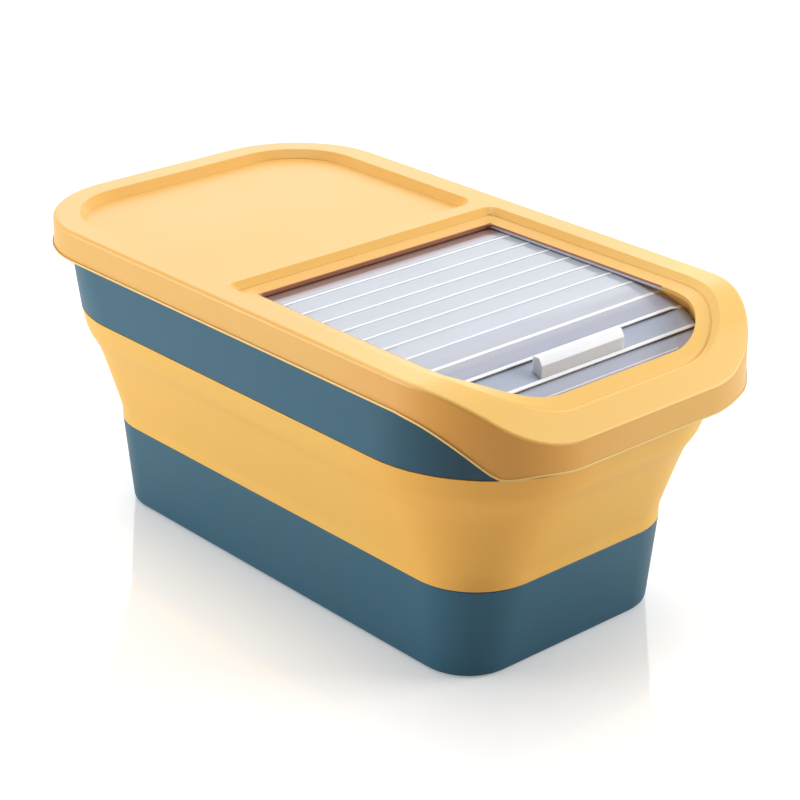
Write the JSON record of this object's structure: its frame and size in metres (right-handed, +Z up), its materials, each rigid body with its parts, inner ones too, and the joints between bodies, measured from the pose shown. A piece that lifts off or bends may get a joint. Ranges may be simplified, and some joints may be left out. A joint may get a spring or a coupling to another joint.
{
  "type": "collapsible pet food storage box",
  "caption": "Collapsible pet food box: rigid tub, soft folding wall, rigid band, lift-off lid with a tambour shutter over its dispensing window.",
  "frame": {"origin": "centre of the bounding box in plan, on the floor under the tub", "axes": "+X towards the dispensing end with the shutter's grip, +Y to the far long side, +Z up"},
  "size_m": [0.4528, 0.2528, 0.2025],
  "materials": {
    "blue_plastic": "satin",
    "yellow_plastic": "satin",
    "yellow_soft": "matt",
    "seal_rubber": "matt",
    "clear_plastic": "clear gloss",
    "white_plastic": "translucent",
    "screw_steel": "plain"
  },
  "bodies": {
    "base": {"base_tub": "blue_plastic", "folding_wall": "yellow_soft"},
    "band": {"upper_band": "blue_plastic"},
    "lid": {"lid": "yellow_plastic", "lid_seal": "seal_rubber", "near_rail": "yellow_plastic", "far_rail": "yellow_plastic", "shutter_shelf": "yellow_plastic", "rail_screws": "screw_steel"},
    "shutter": {"shutter_sheet": "clear_plastic"},
    "grip": {"shutter_grip": "white_plastic"}
  },
  "joints": [
    {"name": "collapse", "type": "slide", "parent": "base", "child": "band", "axis": [0, 0, -1], "range_m": [0, 0.1], "deforming": ["folding_wall"]},
    {"name": "lid_lift", "type": "slide", "parent": "band", "child": "lid", "axis": [0, 0, 1], "range_m": [0, 0.12]},
    {"name": "shutter_slide", "type": "slide", "parent": "lid", "child": "shutter", "axis": [-1, 0, 0], "range_m": [0, 0.156], "deforming": ["shutter_sheet"]},
    {"name": "grip_tilt", "type": "hinge", "parent": "shutter", "child": "grip", "pos_m": [0.1359, 0, 0.1935], "axis": [0, -1, 0], "range_deg": [0, 18.5]}
  ],
  "couplings": [
    {"joint": "grip_tilt", "follows": "shutter_slide", "rad_per_m": 2.0698}
  ]
}
